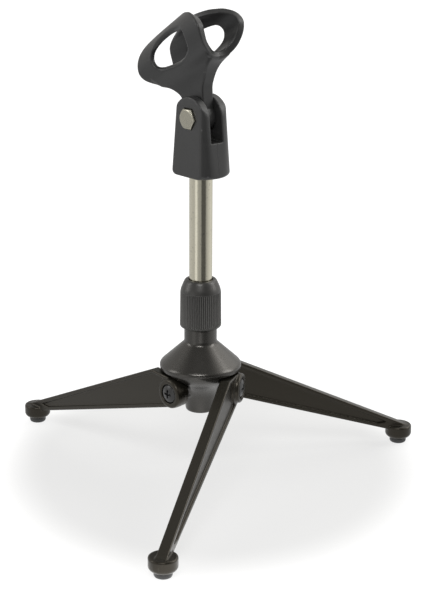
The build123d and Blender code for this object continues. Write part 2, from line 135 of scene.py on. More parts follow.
class Outline:
    """Distance to a polygon, sampled once on a grid and read by bilinear interpolation."""

    def __init__(self, polygon, low, high, step):
        self.low = low
        self.step = step
        self.size = [int(math.ceil((b - a) / step)) + 1 for a, b in zip(low, high)]
        axes = [low[k] + step * np.arange(self.size[k]) for k in range(2)]
        x, y = np.meshgrid(*axes, indexing="ij")
        self.values = polygon_distance(x, y, np.array(polygon)).reshape(self.size)

    def __call__(self, x, y):
        x = np.clip((x - self.low[0]) / self.step, 0, self.size[0] - 1.001)
        y = np.clip((y - self.low[1]) / self.step, 0, self.size[1] - 1.001)
        i = x.astype(np.int32)
        j = y.astype(np.int32)
        u = x - i
        v = y - j
        grid = self.values
        return (grid[i, j] * (1 - u) * (1 - v) + grid[i + 1, j] * u * (1 - v)
                + grid[i, j + 1] * (1 - u) * v + grid[i + 1, j + 1] * u * v)


def mesh_field(field, low, high, step):
    """Points and faces of the surface field = 0."""
    size = [int(math.ceil((b - a) / step)) + 1 for a, b in zip(low, high)]
    axes = [low[k] + step * np.arange(size[k]) for k in range(3)]
    values = np.empty(size, np.float32)
    slab = max(1, int(400000 / (size[1] * size[2])))    # keeps each batch small in memory
    for i in range(0, size[0], slab):
        block = np.meshgrid(axes[0][i:i + slab], axes[1], axes[2], indexing="ij")
        values[i:i + slab] = field(*block)
    limit = 3 * step
    grid = vdb.FloatGrid(limit)
    grid.copyFromArray(np.clip(values, -limit, limit))
    points, triangles, quads = grid.convertToPolygons(isovalue=0.0, adaptivity=0.0)
    points = np.asarray(points, float) * step + np.array(low)
    for _ in range(PULL_STEPS):
        distance = field(*points.T)
        slope = np.stack([field(*(points + GRADIENT_STEP * axis).T)
                          - field(*(points - GRADIENT_STEP * axis).T)
                          for axis in np.eye(3)], 1) / (2 * GRADIENT_STEP)
        steepness = np.maximum((slope * slope).sum(1), 0.05)
        move = slope * (distance / steepness)[:, None]
        length = np.linalg.norm(move, axis=1)
        move *= np.minimum(1, 0.6 * step / np.maximum(length, 1e-9))[:, None]
        points = points - move
    faces = []
    for polygons, corners in ((quads, 4), (triangles, 3)):
        rows = np.asarray(polygons).reshape(-1, corners).tolist()
        faces += [tuple(row[::-1]) for row in rows]
    return points, faces


def lathe(profile, count, recess=lambda i, z, r: 0.0):
    """Turn a (radius, z) profile about z; profile points on the axis become one point."""
    points = []
    rings = []
    for radius, z in profile:
        if radius < 1e-6:
            rings.append([len(points)] * count)
            points.append((0.0, 0.0, z))
            continue
        rings.append(list(range(len(points), len(points) + count)))
        for i in range(count):
            angle = 2 * math.pi * i / count
            cut = radius - recess(i, z, radius)
            points.append((cut * math.cos(angle), cut * math.sin(angle), z))
    closed = profile[0][0] > 1e-6
    faces = []
    for k in range(len(rings) if closed else len(rings) - 1):
        ring, after = rings[k], rings[(k + 1) % len(rings)]
        for i in range(count):
            j = (i + 1) % count
            corners = tuple(dict.fromkeys((ring[i], ring[j], after[j], after[i])))
            if len(corners) > 2:
                faces.append(corners)
    return np.array(points), faces


def turn(points, degrees):
    """Rotate points about z."""
    cos, sin = math.cos(math.radians(degrees)), math.sin(math.radians(degrees))
    x, y, z = points.T
    return np.stack([x * cos - y * sin, x * sin + y * cos, z], 1)


def piece(name, points, faces, body, replaced, material, slot):
    """A visible piece from points in millimetres about the column's axis."""
    mesh = bpy.data.meshes.new(name)
    mesh.from_pydata((points / 1000.0 + AXIS).tolist(), [], faces)
    mesh.validate()
    mesh.polygons.foreach_set("use_smooth", [True] * len(mesh.polygons))
    mesh.materials.append(material)
    obj = bpy.data.objects.new(name, mesh)
    scene.collection.objects.link(obj)
    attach(obj, body)
    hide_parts(replaced)


# ------------------------------------------------------------------ shader tools
class Graph:
    """Short-hand for building a node tree."""

    def __init__(self, owner):
        owner.use_nodes = True
        self.tree = owner.node_tree

    def put(self, socket, value):
        """Link a socket, or set its value."""
        if isinstance(value, bpy.types.NodeSocket):
            self.tree.links.new(value, socket)
        else:
            socket.default_value = value

    def new(self, kind, inputs=(), **settings):
        node = self.tree.nodes.new(kind)
        for key, value in settings.items():
            setattr(node, key, value)
        for key, value in dict(inputs).items():
            self.put(node.inputs[key], value)
        return node

    def calc(self, operation, first, second=0.0):
        inputs = {0: first, 1: second}
        return self.new("ShaderNodeMath", inputs, operation=operation).outputs[0]

    add = partialmethod(calc, "ADD")
    sub = partialmethod(calc, "SUBTRACT")
    mul = partialmethod(calc, "MULTIPLY")

    def hypot(self, x, y):
        return self.calc("SQRT", self.add(self.mul(x, x), self.mul(y, y)))

    def remap(self, value, span, to, smooth=False):
        inputs = {"Value": value, "From Min": span[0], "From Max": span[1],
                  "To Min": to[0], "To Max": to[1]}
        kind = "SMOOTHSTEP" if smooth else "LINEAR"
        return self.new("ShaderNodeMapRange", inputs, interpolation_type=kind).outputs[0]

    def mix(self, factor, first, second):
        inputs = {0: factor, 6: first, 7: second}
        return self.new("ShaderNodeMix", inputs, data_type="RGBA").outputs[2]

    def xyz(self, vector):
        return self.new("ShaderNodeSeparateXYZ", {0: vector}).outputs


class Surface(Graph):
    """A Principled material on object coordinates measured from the column's axis."""

    def __init__(self, name):
        self.material = bpy.data.materials.new(name)
        super().__init__(self.material)
        self.bsdf = self.tree.nodes["Principled BSDF"]
        place = self.new("ShaderNodeTexCoord").outputs["Object"]
        shift = {0: place, 1: tuple(AXIS)}
        self.place = self.new("ShaderNodeVectorMath", shift, operation="SUBTRACT").outputs[0]
        self.normal = None

    def set(self, name, value):
        self.put(self.bsdf.inputs[name], value)

    def noise(self, scale, detail=2.0, rough=0.5, stretch=None):
        place = self.place
        if stretch:
            place = self.new("ShaderNodeMapping", {"Scale": stretch, "Vector": place}).outputs[0]
        inputs = {"Scale": scale, "Detail": detail, "Roughness": rough, "Vector": place}
        return self.new("ShaderNodeTexNoise", inputs).outputs[0]

    def bump(self, height, depth, strength=1.0):
        """Add relief on top of any earlier bump."""
        inputs = {"Strength": strength, "Distance": depth, "Height": height}
        if self.normal is not None:
            inputs["Normal"] = self.normal
        self.normal = self.new("ShaderNodeBump", inputs).outputs[0]
        self.set("Normal", self.normal)


def grey(value, warm=0.0):
    return (value * (1 + 0.4 * warm), value, value * (1 - 1.5 * warm), 1.0)


# ------------------------------------------------------------------ materials
MIDDLE = (0.3, 0.7)     # the part of a noise's range that carries its contrast


def knurl_painted_light(shader, colour, base, speckle):
    """Painted shade down the grooves and a painted highlight on the crests of the collar's
    knurled band.
    """
    x, y, z = shader.xyz(shader.place)
    radius = shader.hypot(x, y)
    band = shader.mul(shader.remap(z, span=(0.0848, 0.0853), to=(0.0, 1.0)),
                      shader.remap(z, span=(0.1025, 0.1031), to=(1.0, 0.0)))
    # painted highlight: paler colour on the knurl's crests; painted shade: darker colour down in
    # its grooves
    crest_highlight = shader.mul(shader.remap(radius, span=(0.01035, 0.01062), to=(0.0, 1.0)), band)
    groove_shade = shader.mul(shader.remap(radius, span=(0.01015, 0.01045), to=(1.0, 0.0)), band)
    crest_highlight = shader.mul(crest_highlight, shader.remap(speckle, span=MIDDLE, to=(0.75, 1.0)))
    colour = shader.mix(groove_shade, colour, grey(base * 0.35))
    return shader.mix(crest_highlight, colour, grey(0.062, warm=0.03))


def seam_bump(shader):
    """A raised line at x = 0 that ends below the fork's slot."""
    top = 0.1828
    x, _, z = shader.xyz(shader.place)
    distance = shader.calc("ABSOLUTE", shader.sub(x, 0.0))
    ridge = shader.remap(distance, span=(0.0, 0.00022), to=(1.0, 0.0), smooth=True)
    ridge = shader.mul(ridge, shader.remap(z, span=(top - 0.001, top), to=(1.0, 0.0)))
    shader.bump(ridge, depth=1.2e-4)


def plastic(name, base, rough, grain, grain_depth, edge_pale, flow=False, seam=False, warm=0.0,
            cloud=0.5, knurled=False, specular=0.5):
    """Moulded or cast black: fine texture, broken sheen, paler colour on sharp edges."""
    shader = Surface(name)
    broad = shader.noise(scale=55.0, detail=3.0, rough=0.55)
    speckle = shader.noise(scale=420.0, detail=3.0, rough=0.6)
    colour = shader.mix(broad, grey(base * 0.82, warm), grey(base * 1.18, warm * 0.8))
    pointiness = shader.new("ShaderNodeNewGeometry").outputs["Pointiness"]
    # paler colour on sharp convex edges, found by pointiness
    edges = shader.remap(pointiness, span=(0.52, 0.62), to=(0.0, 1.0))
    colour = shader.mix(shader.mul(edges, edge_pale), colour, grey(base * 3.2 + 0.01, warm * 0.5))
    if knurled:
        # painted shade in the knurl's grooves and a painted highlight on its crests
        colour = knurl_painted_light(shader, colour, base, speckle)
    shader.set("Base Color", colour)
    shader.set("Roughness", shader.add(
        shader.remap(broad, span=MIDDLE, to=(-0.035 * cloud, 0.045 * cloud)),
        shader.remap(speckle, span=MIDDLE, to=(rough - 0.03 * cloud, rough + 0.05 * cloud))))
    shader.set("Specular IOR Level", specular)
    shader.set("Specular Tint", (1.0, 1.0 - 0.5 * warm, 1.0 - 1.25 * warm, 1.0))
    shader.bump(shader.noise(scale=grain, detail=3.0, rough=0.65), depth=grain_depth)
    if flow:
        shader.bump(shader.noise(scale=150.0), depth=6.0e-5, strength=0.5)
    if seam:
        seam_bump(shader)
    return shader.material


def plated(name, base, rough, stretch, scale, depth, blotch, warm=0.0, mottle=0.0):
    """Bright metal with drawing marks, haze and faint blotches."""
    shader = Surface(name)
    broad = shader.noise(scale=90.0, detail=4.0, rough=0.6)
    fine = shader.noise(scale=scale, detail=3.0, rough=0.6, stretch=stretch)
    spots = shader.noise(scale=700.0)
    colour = shader.mix(shader.remap(broad, span=(0.35, 0.7), to=(0.0, blotch)),
                        grey(base, warm), grey(base * 0.55, warm * 1.5))
    spotted = shader.remap(spots, span=(0.62, 0.72), to=(0.0, 0.35))
    shader.set("Base Color", shader.mix(spotted, colour, grey(base * 0.4)))
    shader.set("Metallic", 1.0)
    shader.set("Roughness", shader.add(
        shader.remap(broad, span=MIDDLE, to=(rough - 0.04, rough + 0.06)),
        shader.remap(fine, span=MIDDLE, to=(-0.03, 0.04))))
    shader.bump(fine, depth=depth)
    if mottle:
        shader.bump(shader.noise(scale=1100.0, detail=3.0, rough=0.65), depth=mottle)
        shader.bump(shader.noise(scale=260.0, stretch=(1, 1, 0.25)), depth=mottle * 1.6)
    return shader.material


def rubber(name, base, rough):
    """Dull and dusty."""
    shader = Surface(name)
    broad = shader.noise(scale=130.0, detail=3.0, rough=0.55)
    dust = shader.noise(scale=1500.0, detail=3.0, rough=0.7)
    clean = shader.mix(broad, grey(base * 0.8), grey(base * 1.25))
    dusty = shader.remap(dust, span=(0.5, 0.8), to=(0.0, 0.5))
    shader.set("Base Color", shader.mix(dusty, clean, grey(base * 2.6)))
    shader.set("Roughness", shader.remap(broad, span=MIDDLE, to=(rough - 0.06, rough + 0.06)))
    shader.bump(dust, depth=3.0e-5, strength=0.7)
    return shader.material


M_CLIP = plastic("clip_black", base=0.014, rough=0.37, grain=2400.0, grain_depth=2.6e-5,
                 edge_pale=0.30, flow=True, cloud=0.8)
M_FORK = plastic("fork_black", base=0.021, rough=0.40, grain=2400.0, grain_depth=3.0e-5,
                 edge_pale=0.6, flow=True, seam=True, cloud=0.8)
M_CAST = plastic("cast_black", base=0.008, rough=0.27, grain=1500.0, grain_depth=1.0e-5,
                 edge_pale=0.45, warm=0.08, cloud=0.25, specular=0.80)
M_LEG = plastic("leg_black", base=0.0055, rough=0.31, grain=1500.0, grain_depth=1.8e-5,
                edge_pale=0.55, warm=0.20, specular=0.47)
M_COLLAR = plastic("collar_black", base=0.018, rough=0.34, grain=2200.0, grain_depth=1.8e-5,
                   edge_pale=0.35, warm=0.04, knurled=True, specular=0.65)
M_SCREW = plastic("screw_black", base=0.018, rough=0.26, grain=2600.0, grain_depth=1.2e-5,
                  edge_pale=0.9)
M_TUBE = plated("tube_plated", base=0.61, rough=0.13, stretch=(1, 1, 0.05), scale=900.0,
                depth=6.0e-6, blotch=0.12, warm=0.125, mottle=1.1e-5)
M_BOLT = plated("bolt_plated", base=0.40, rough=0.27, stretch=(1, 1, 1), scale=1400.0,
                depth=1.2e-5, blotch=0.35, warm=0.11, mottle=0.8e-5)
M_STEEL = plated("steel_plated", base=0.5, rough=0.3, stretch=(1, 1, 1), scale=1200.0,
                 depth=1.0e-5, blotch=0.3)
M_BRASS = plated("brass_turned", base=0.55, rough=0.28, stretch=(1, 1, 8), scale=500.0,
                 depth=1.0e-5, blotch=0.3, warm=0.25)
M_RUBBER = rubber("pad_rubber", base=0.030, rough=0.45)
M_NYLON = rubber("nylon_white", base=0.45, rough=0.45)

# CAD pieces that are neither foot pads nor cast black
CAD_MATERIALS = {
    "tube": M_TUBE, "top_stud": M_TUBE, "pivot_bolt": M_BOLT, "pivot_nut": M_BOLT,
    "leg_pivot_screws": M_SCREW, "leg_pivot_washers": M_STEEL,
    "thread_insert": M_BRASS, "thread_adapter": M_BRASS,
    "collet": M_NYLON, "tube_end_plug": M_NYLON,
    "collar": M_COLLAR, "mic_clip": M_CLIP, "fork_base": M_FORK,
}
for name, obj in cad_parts.items():
    material = M_RUBBER if name.startswith("foot_pad") else CAD_MATERIALS.get(name, M_CAST)
    obj.data.materials.clear()
    obj.data.materials.append(material)

# ------------------------------------------------------------------ microphone clip
# An open channel on a stem. Its frame is along the channel (front, raised end positive),
# across it (world x) and height square to both, from the channel's axis.
CLIP_TILT = math.radians(30.7)
CLIP_RISE = 40.2                # channel axis above the tilt bolt
PIVOT_ALONG = -CLIP_RISE * math.sin(CLIP_TILT)
PIVOT_HEIGHT = -CLIP_RISE * math.cos(CLIP_TILT)
WALL_RADIUS = 13.4              # where lengths round the wall are measured
ARC = math.pi / 180 * WALL_RADIUS       # length round the wall to a degree
EDGE_INSET = 0.45
WINDOW_INSET = 0.3

# edges of the arms and of the window: (along, degrees from the lowest line)
ARM_EDGE = [
    (6.1, 0), (7.2, 14), (9.4, 28.8), (12.4, 53), (15.1, 73.4), (16.3, 88.5), (15.6, 101.1),
    (14.3, 110.5), (12.1, 120.3), (9.2, 129.8), (5.7, 138.2), (-0.4, 151.0), (-4.8, 158.2),
    (-9.6, 161.3), (-14.2, 161.3), (-18.8, 158.6), (-26.8, 149.2), (-32.2, 140.0),
    (-35.4, 129.5), (-37.8, 115.5), (-39.6, 96.5), (-40.1, 79), (-39, 63.8), (-36.8, 49.5),
    (-34.2, 32.2), (-32.6, 15), (-32.1, 0)]
WINDOW = [
    (1.3, 113.0), (-2.5, 118.7), (-6.1, 122.5), (-10.7, 125.2), (-15.6, 124.2), (-20.8, 118.4),
    (-24.6, 108), (-26.4, 94), (-26.7, 81.2), (-26.0, 70.8), (-24.2, 64), (-21.8, 59.3),
    (-18.3, 55.0), (-14.4, 51.0), (-10.1, 49.0), (-5.4, 51.6), (-1.2, 57.8), (2.1, 66.5),
    (3.8, 79), (4.2, 92.2), (3.3, 104.2)]
# sides of the stem: (along, height)
STEM_FRONT = [(7.5, -13.9), (2.2, -15.75), (-1.7, -17.9), (-5.0, -20.5), (-8.1, -23.4),
              (-9.9, -26.6), (-11.6, -30.0)]
STEM_REAR = [(-27.6, -34.0), (-26.7, -30.0), (-25.6, -26.0), (-26.1, -21.2), (-27.6, -18.2),
             (-29.6, -15.3), (-33.2, -12.0)]
# half thickness of the stem: (height, half thickness)
STEM_STATIONS = [(-46, 3.75), (-24, 3.75), (-20.5, 3.80), (-17.9, 4.15), (-15.5, 5.1),
                 (-12.5, 6.9), (-9.0, 9.8), (-4, 14.0)]

edge = spline([(along, degrees * ARC) for along, degrees in ARM_EDGE])
arm_outline = Outline(np.vstack([edge, edge[::-1][1:-1] * [1, -1]]), (-46, -46), (22, 46), 0.2)
window_outline = Outline(spline([(along, degrees * ARC) for along, degrees in WINDOW],
                                closed=True), (-46, -1), (22, 46), 0.2)
stem_eye = arc((PIVOT_ALONG, PIVOT_HEIGHT), 7.2, np.linspace(10, -170, 40))
stem_outline = Outline(np.vstack([spline(STEM_FRONT), stem_eye, spline(STEM_REAR),
                                  [(-33.2, -8.0), (7.5, -8.0)]]), (-42, -46), (16, -4), 0.2)

# the stations are joined by lines, then smoothed
stem_heights = np.linspace(-46, -4, 421)
kernel = np.hanning(41)
kernel /= kernel.sum()
stem_halves = np.interp(stem_heights, *zip(*STEM_STATIONS))
stem_halves = np.convolve(np.pad(stem_halves, 20, mode="edge"), kernel, mode="valid")


def clip_field(along, across, height):
    across = np.abs(across)
    radius = np.sqrt(across * across + height * height)
    girth = np.arctan2(across, -height) * WALL_RADIUS
    outer = radius - (14.2 + 0.040 * (along + 10.0))
    inner = (11.13 + 0.0105 * (along + 10.0)) - radius
    tip = np.clip((girth / ARC - 122) / 26, 0, 1) * np.clip((along + 16.0) / 10.0, 0, 1)
    front = np.clip((along - 2.0) / 8.0, 0, 1)
    arm = arm_outline(along, girth) - EDGE_INSET - 0.65 * tip
    window = -window_outline(along, girth) - WINDOW_INSET
    rim = np.maximum(arm, window)
    shell = np.maximum(round_max(outer, rim, 1.35 - 0.55 * np.maximum(front, tip)),
                       round_max(inner, rim, 0.4))
    half = np.interp(height, stem_heights, stem_halves)
    stem = round_max(stem_outline(along, height), (across - half) * 0.93, 0.9)
    stem = np.maximum(stem, inner)
    body = soft_min(shell, stem, 2.2)
    body = round_max(body, inner, 0.35)
    body = round_max(body, window, 0.5)
    hole = 3.1 - np.sqrt((along - PIVOT_ALONG) ** 2 + (height - PIVOT_HEIGHT) ** 2)
    return np.maximum(body, hole)


points, faces = mesh_field(clip_field, (-44, -17, -44), (19.5, 17, 17.5), 0.4)
points = (points[:, :1] * np.array([0.0, -math.cos(CLIP_TILT), math.sin(CLIP_TILT)])
          + points[:, 1:2] * np.array([1.0, 0, 0])
          + points[:, 2:3] * np.array([0.0, math.sin(CLIP_TILT), math.cos(CLIP_TILT)])
          + np.array([0, 0, TILT_Z + CLIP_RISE]))
# the clip's faces are wound the other way from those of the other pieces
faces = [face[::-1] for face in faces]
piece("clip_moulding", points, faces, "clip", "mic_clip", M_CLIP, "clip_black")

# ------------------------------------------------------------------ fork base
FORK_BASE_Z = 164.6
FORK_TOP_Z = 205.75
SLOT_HALF = 3.9
SLOT_FLOOR_Z = 182.8
SEAT_X = 6.2            # floor of each hexagonal pocket, where bolt head and nut sit
POCKET_APOTHEM = 5.15
PIVOT_BORE = 3.05
ARCH_RADIUS = 11.35
ARCH_Z = 193.9

# turned envelope: (radius, z), carried past the axis so that it has no edge there
FORK_PROFILE = [(-14, FORK_BASE_Z), (12.6, FORK_BASE_Z), (13.35, 164.78), (14.1, 165.25),
                (14.55, 165.95), (14.75, 166.8), (12.9, 194.3), (12.15, FORK_TOP_Z),
                (-14, FORK_TOP_Z)]
fork_profile = Outline(FORK_PROFILE, (-1, 160), (20, 210), 0.1)
# side view: (y, z)
arch = [(-ARCH_RADIUS, ARCH_Z), (-14.9, 160), (14.9, 160), (ARCH_RADIUS, ARCH_Z)]
arch += arc((0, ARCH_Z), ARCH_RADIUS, np.linspace(2, 178, 60))
arch_outline = Outline(arch, (-20, 158), (20, 210), 0.15)


def hexagon(y, z, apothem):
    return np.max([np.abs(y * math.cos(t) + z * math.sin(t))
                   for t in np.radians((90, 30, 150))], axis=0) - apothem


def fork_field(x, y, z):
    side = np.abs(x)
    radius = np.sqrt(x * x + y * y)
    flats = side - (10.33 - (z - 160) * 0.0464)
    body = round_max(arch_outline(y, z), flats, 0.6)
    body = round_max(body, fork_profile(radius, z), 0.6)
    slot = round_max(side - SLOT_HALF, SLOT_FLOOR_Z - z, 0.5)
    body = round_max(body, -slot, 0.45)
    rise = z - TILT_Z
    pocket = np.maximum(hexagon(y, rise, POCKET_APOTHEM), SEAT_X - side)
    body = round_max(body, -pocket, 0.25)
    body = np.maximum(body, PIVOT_BORE - np.sqrt(y * y + rise * rise))
    return np.maximum(body, -np.maximum(radius - 9.2, z - 167.0))    # recess underneath


piece("fork_moulding", *mesh_field(fork_field, (-16, -16, 163.6), (16, 16, 206.6), 0.38),
      "column", "fork_base", M_FORK, "clip_black")

# ------------------------------------------------------------------ hexagon bolt and nut
HEX_APOTHEM = 5.0
HEAD_END = 10.2         # the head is on -x
SHANK_RADIUS = 3.0
SHANK_END = 11.8
NUT_END = 11.2


def bolt_field(x, y, z):
    rise = z - TILT_Z
    radius = np.sqrt(y * y + rise * rise)
    chamfer = (radius - 4.55 - (x + HEAD_END) * 1.6) * 0.53
    ends = np.maximum(-HEAD_END - x, x + SEAT_X)
    head = round_max(round_max(hexagon(y, rise, HEX_APOTHEM), ends, 0.18), chamfer, 0.2)
    tip = (radius - 2.4 - (SHANK_END - x)) * 0.707
    shank = np.maximum(radius - SHANK_RADIUS, np.maximum(-6.6 - x, x - SHANK_END))
    return np.minimum(head, np.maximum(shank, tip))


def nut_field(x, y, z):
    rise = z - TILT_Z
    radius = np.sqrt(y * y + rise * rise)
    chamfer = (radius - 4.6 - (NUT_END - x) * 1.45) * 0.57
    ends = np.maximum(x - NUT_END, SEAT_X - x)
    nut = round_max(round_max(hexagon(y, rise, HEX_APOTHEM), ends, 0.18), chamfer, 0.2)
    return round_max(nut, PIVOT_BORE - radius, 0.3)


for part, field, start, end in (("pivot_bolt", bolt_field, -11, 12.5),
                                ("pivot_nut", nut_field, 5.6, 12)):
    mesh = mesh_field(field, (start, -7, TILT_Z - 7), (end, 7, TILT_Z + 7), 0.22)
    piece(part + "_plated", *mesh, "column", part, M_BOLT, "bolt_plated")

# ------------------------------------------------------------------ tube
TUBE_FOOT_Z = 83.9
tube_profile = [(6.0, z) for z in np.linspace(TUBE_FOOT_Z, FORK_BASE_Z, 60)]
tube_profile += [(5.95, 164.85), (5.8, 165.0), (5.0, 165.0)]
tube_profile += [(5.0, z) for z in (150.0, 120.0, 92.0, TUBE_FOOT_Z)]
piece("column_tube", *lathe(tube_profile, 128), "column", "tube", M_TUBE, "tube_plated")

# ------------------------------------------------------------------ knurled collar
GROOVES = 60
GROOVE_STEPS = 8        # points round each groove and ridge
GROOVE_DEPTH = 0.48


def knurl(i, z, radius):
    """Depth cut from the collar at step i round it."""
    if radius < 9.9:
        return 0.0
    run = min(max((z - 84.75) / 0.4, 0.0), 1.0) * min(max((102.9 - z) / 0.35, 0.0), 1.0)
    place = abs((i % GROOVE_STEPS) / GROOVE_STEPS * 2 - 1)      # 0 in the groove, 1 on the ridge
    return GROOVE_DEPTH * run * max(0.0, 1 - place / 0.72)


# (radius, z): bottom edge, tapering band, shoulder and lip, then the bore
band_z = np.concatenate([np.linspace(84.75, 85.3, 6), np.linspace(86.0, 101.4, 22),
                         np.linspace(101.7, 102.2, 3)])
collar_profile = [(9.85, 83.7), (10.2, 83.76), (10.52, 83.98), (10.73, 84.3), (10.8, 84.65)]
collar_profile += [(10.8 - 0.2 * (z - 84.65) / 17.25, z) for z in band_z]
collar_profile += [
    (10.59, 102.5), (10.56, 102.6), (10.55, 102.7), (10.54, 102.8), (10.53, 102.95),
    (10.45, 103.4), (10.32, 104.0), (10.15, 104.6), (9.95, 105.2), (9.7, 105.8),
    (9.42, 106.45), (9.1, 107.2), (8.78, 107.95), (8.5, 108.5), (8.28, 108.85), (8.0, 109.15),
    (7.7, 109.34), (7.3, 109.42), (6.8, 109.42), (6.5, 109.38), (6.38, 109.25), (6.35, 109.0)]
collar_profile += [(6.35, 108.0), (6.35, 106.3), (7.1, 106.3), (7.6, 102.8), (8.06, 99.3),
                   (8.06, 92.0), (8.06, 83.9), (8.3, 83.7), (9.2, 83.7)]
piece("collar_knurled", *lathe(collar_profile, GROOVE_STEPS * GROOVES, knurl),
      "clutch_collar", "collar", M_COLLAR, "collar_black")

# ------------------------------------------------------------------ hub casting
PIVOT_Z = 51.3          # height of the leg pivots
HUB_FACE = 14.5         # column axis to the flat behind each leg

# turned profile, (radius, z), from the foot up
HUB_UNDERSIDE = [(7.9, 38.6), (8.05, 40.0), (8.55, 42.6), (9.3, 45.4), (10.4, 48.2),
                 (12.2, 51.0), (14.7, 53.7), (17.5, 56.2), (19.8, 58.6), (20.95, 60.5),
                 (21.4, 62.3), (21.25, 63.4), (20.5, 64.4)]
HUB_NECK = [(9.6, 74.45), (9.305, 74.739), (9.035, 75.052), (8.816, 75.401), (8.663, 75.784),
            (8.576, 76.188), (8.55, 76.6), (8.55, 83.0), (8.4, 83.4), (8.0, 83.4), (8.0, 97.6),
            (7.6, 98.0), (-9, 98.0)]
HUB_FOOT = [(-9, 37.2), (6.9, 37.2), (7.4, 37.45), (7.68, 37.8), (7.75, 38.05)]
hub_outline = Outline(np.vstack([HUB_FOOT, spline(HUB_UNDERSIDE), HUB_NECK]),
                      (-1, 35), (25, 100), 0.1)


def leg_views(x, y, z):
    """For each leg: distance out along its pivot, along the leg, and from the pivot."""
    for degrees in LEG_ANGLES.values():
        t = math.radians(degrees)
        out = x * math.sin(t) - y * math.cos(t)
        along = x * math.cos(t) + y * math.sin(t)
        yield out, along, np.sqrt(along * along + (z - PIVOT_Z) ** 2)


def hub_field(x, y, z):
    radius = np.sqrt(x * x + y * y)
    body = hub_outline(radius, z)
    # a flat with a rounded recess for each leg to swing in
    for out, along, reach in leg_views(x, y, z):
        sweep = np.maximum(round_min(60.55 - z, -along, 0.6), 8.3 - reach)
        body = round_max(body, round_min(out - HUB_FACE, sweep, 0.6), 0.5)
    # a round lug behind each leg
    for out, _, reach in leg_views(x, y, z):
        lug = np.maximum(round_max(reach - 4.6, out - HUB_FACE, 0.3), -out)
        body = soft_min(body, lug, 1.0)
    body = np.maximum(body, -np.maximum(radius - 6.25, 40.0 - z))
    return np.maximum(body, -np.maximum(radius - 7.04, 84.0 - z))


piece("hub_casting", *mesh_field(hub_field, (-23, -23, 36.2), (23, 23, 99), 0.4),
      "stand_base", "hub", M_CAST, "cast_black")

# ------------------------------------------------------------------ legs
# Built with the pivot on -y and the foot towards -x, then turned about the column.
REACH = 118.9           # pivot to foot
LEG_OFFSET = 18.15      # column axis to the middle of the leg
THICK = 5.6
EYE = 7.85              # radius of the pivot end


def top_z(distance):
    return 12.3 + 0.465 * (REACH - distance)


def bottom_z(distance):
    return 6.95 + 0.3065 * (REACH - distance)


# side view of the leg and of the thin web inside its rim: (x, z)
leg_side = [(0, PIVOT_Z + EYE), (-15.9, 60.25), (-REACH - 4.6, top_z(REACH + 4.6)),
            (-REACH - 6.0, 9.0), (-REACH - 6.4, 7.6), (-REACH - 6.4, 5.9),
            (-REACH, bottom_z(REACH) - 0.3), (0, PIVOT_Z - EYE)]
leg_web = [(-3.0, PIVOT_Z + EYE - 1.6), (-14.9, 58.5),
           (-REACH + 7.5, top_z(REACH - 7.5) - 2.5),
           (-REACH + 13.5, bottom_z(REACH - 13.5) + 2.0), (-3.0, bottom_z(3.0) + 2.2)]
side_outline = Outline(leg_side, (-130, 0), (12, 66), 0.25)
web_outline = Outline(leg_web, (-130, 0), (12, 66), 0.2)
# turned cap over the foot pad: (radius, z)
FOOT_CAP = [(-7, 3.0), (4.75, 3.0), (5.15, 3.05), (6.35, 3.95), (6.75, 4.35), (7.15, 5.1),
            (7.25, 5.6), (7.25, 9.6), (7.1, 10.1), (6.75, 10.42), (6.4, 10.5), (-7, 10.5)]
cap_outline = Outline(FOOT_CAP, (-1, 0), (12, 14), 0.1)


def leg_field(x, y, z):
    depth = y + LEG_OFFSET
    eye = np.sqrt(x * x + (z - PIVOT_Z) ** 2)
    foot = np.sqrt((x + REACH) ** 2 + depth * depth)
    side = np.minimum(side_outline(x, z), eye - EYE)
    plate = round_max(side, np.abs(depth) - THICK / 2, 0.5)
    web = np.maximum(web_outline(x, z), 9.4 - eye)
    keep = round_min(-web, np.abs(depth) - (THICK / 2 - 1.2), 0.45)
    plate = round_max(plate, keep, 0.35)
    boss = np.maximum(round_max(eye - EYE, -23.0 - y, 1.3), depth)
    body = soft_min(plate, boss, 0.6)
    body = soft_min(body, cap_outline(foot, z), 0.9)
    body = round_max(body, -np.maximum(eye - 5.15, y + 20.5), 0.25)    # screw head recess
    body = np.maximum(body, PIVOT_BORE - eye)
    return np.maximum(body, -np.maximum(foot - 2.5, z - 6.8))          # pad peg hole


# pad and its peg: (radius, z)
PAD_PROFILE = [(0.0, 0.0), (1.6, 0.0), (2.6, 0.0), (3.3, 0.02), (3.8, 0.16), (4.25, 0.45),
               (4.5, 0.9), (4.6, 1.35), (4.58, 2.0), (4.55, 2.6), (4.5, 2.98), (4.3, 3.0),
               (2.6, 3.0), (2.5, 3.1), (2.5, 6.3), (2.3, 6.5), (0.0, 6.5)]
CROSS_HALF = 0.55       # half width of the cross recess


def screw_field(x, y, z):
    rise = z - PIVOT_Z
    radius = np.sqrt(x * x + rise * rise)
    out = -y
    dome = 23.75 - 0.055 * radius * radius + 0.0009 * radius ** 3
    head = round_max(round_max(radius - 4.9, out - dome, 0.7), 20.55 - out, 0.2)
    arm = 2.55 - 0.35 * np.clip(23.7 - out, 0, 2)
    cross = np.minimum(np.maximum(np.abs(x) - CROSS_HALF, np.abs(rise) - arm),
                       np.maximum(np.abs(rise) - CROSS_HALF, np.abs(x) - arm))
    head = round_max(head, -np.maximum(cross, 22.1 - out), 0.12)
    shank = np.maximum(radius - 2.99, np.maximum(out - 20.7, 14.5 - out))
    thread = np.maximum(radius - 1.94, np.maximum(out - 14.6, 8.6 - out))
    return np.minimum(np.minimum(head, shank), thread)


leg, leg_faces = mesh_field(leg_field, (-127.5, -25, 2), (9, -10, 62), 0.45)
pad, pad_faces = lathe(PAD_PROFILE, 64)
pad = pad + np.array([-REACH, -LEG_OFFSET, 0])
screw, screw_faces = mesh_field(screw_field, (-6, -25.6, PIVOT_Z - 6), (6, -8, PIVOT_Z + 6), 0.2)

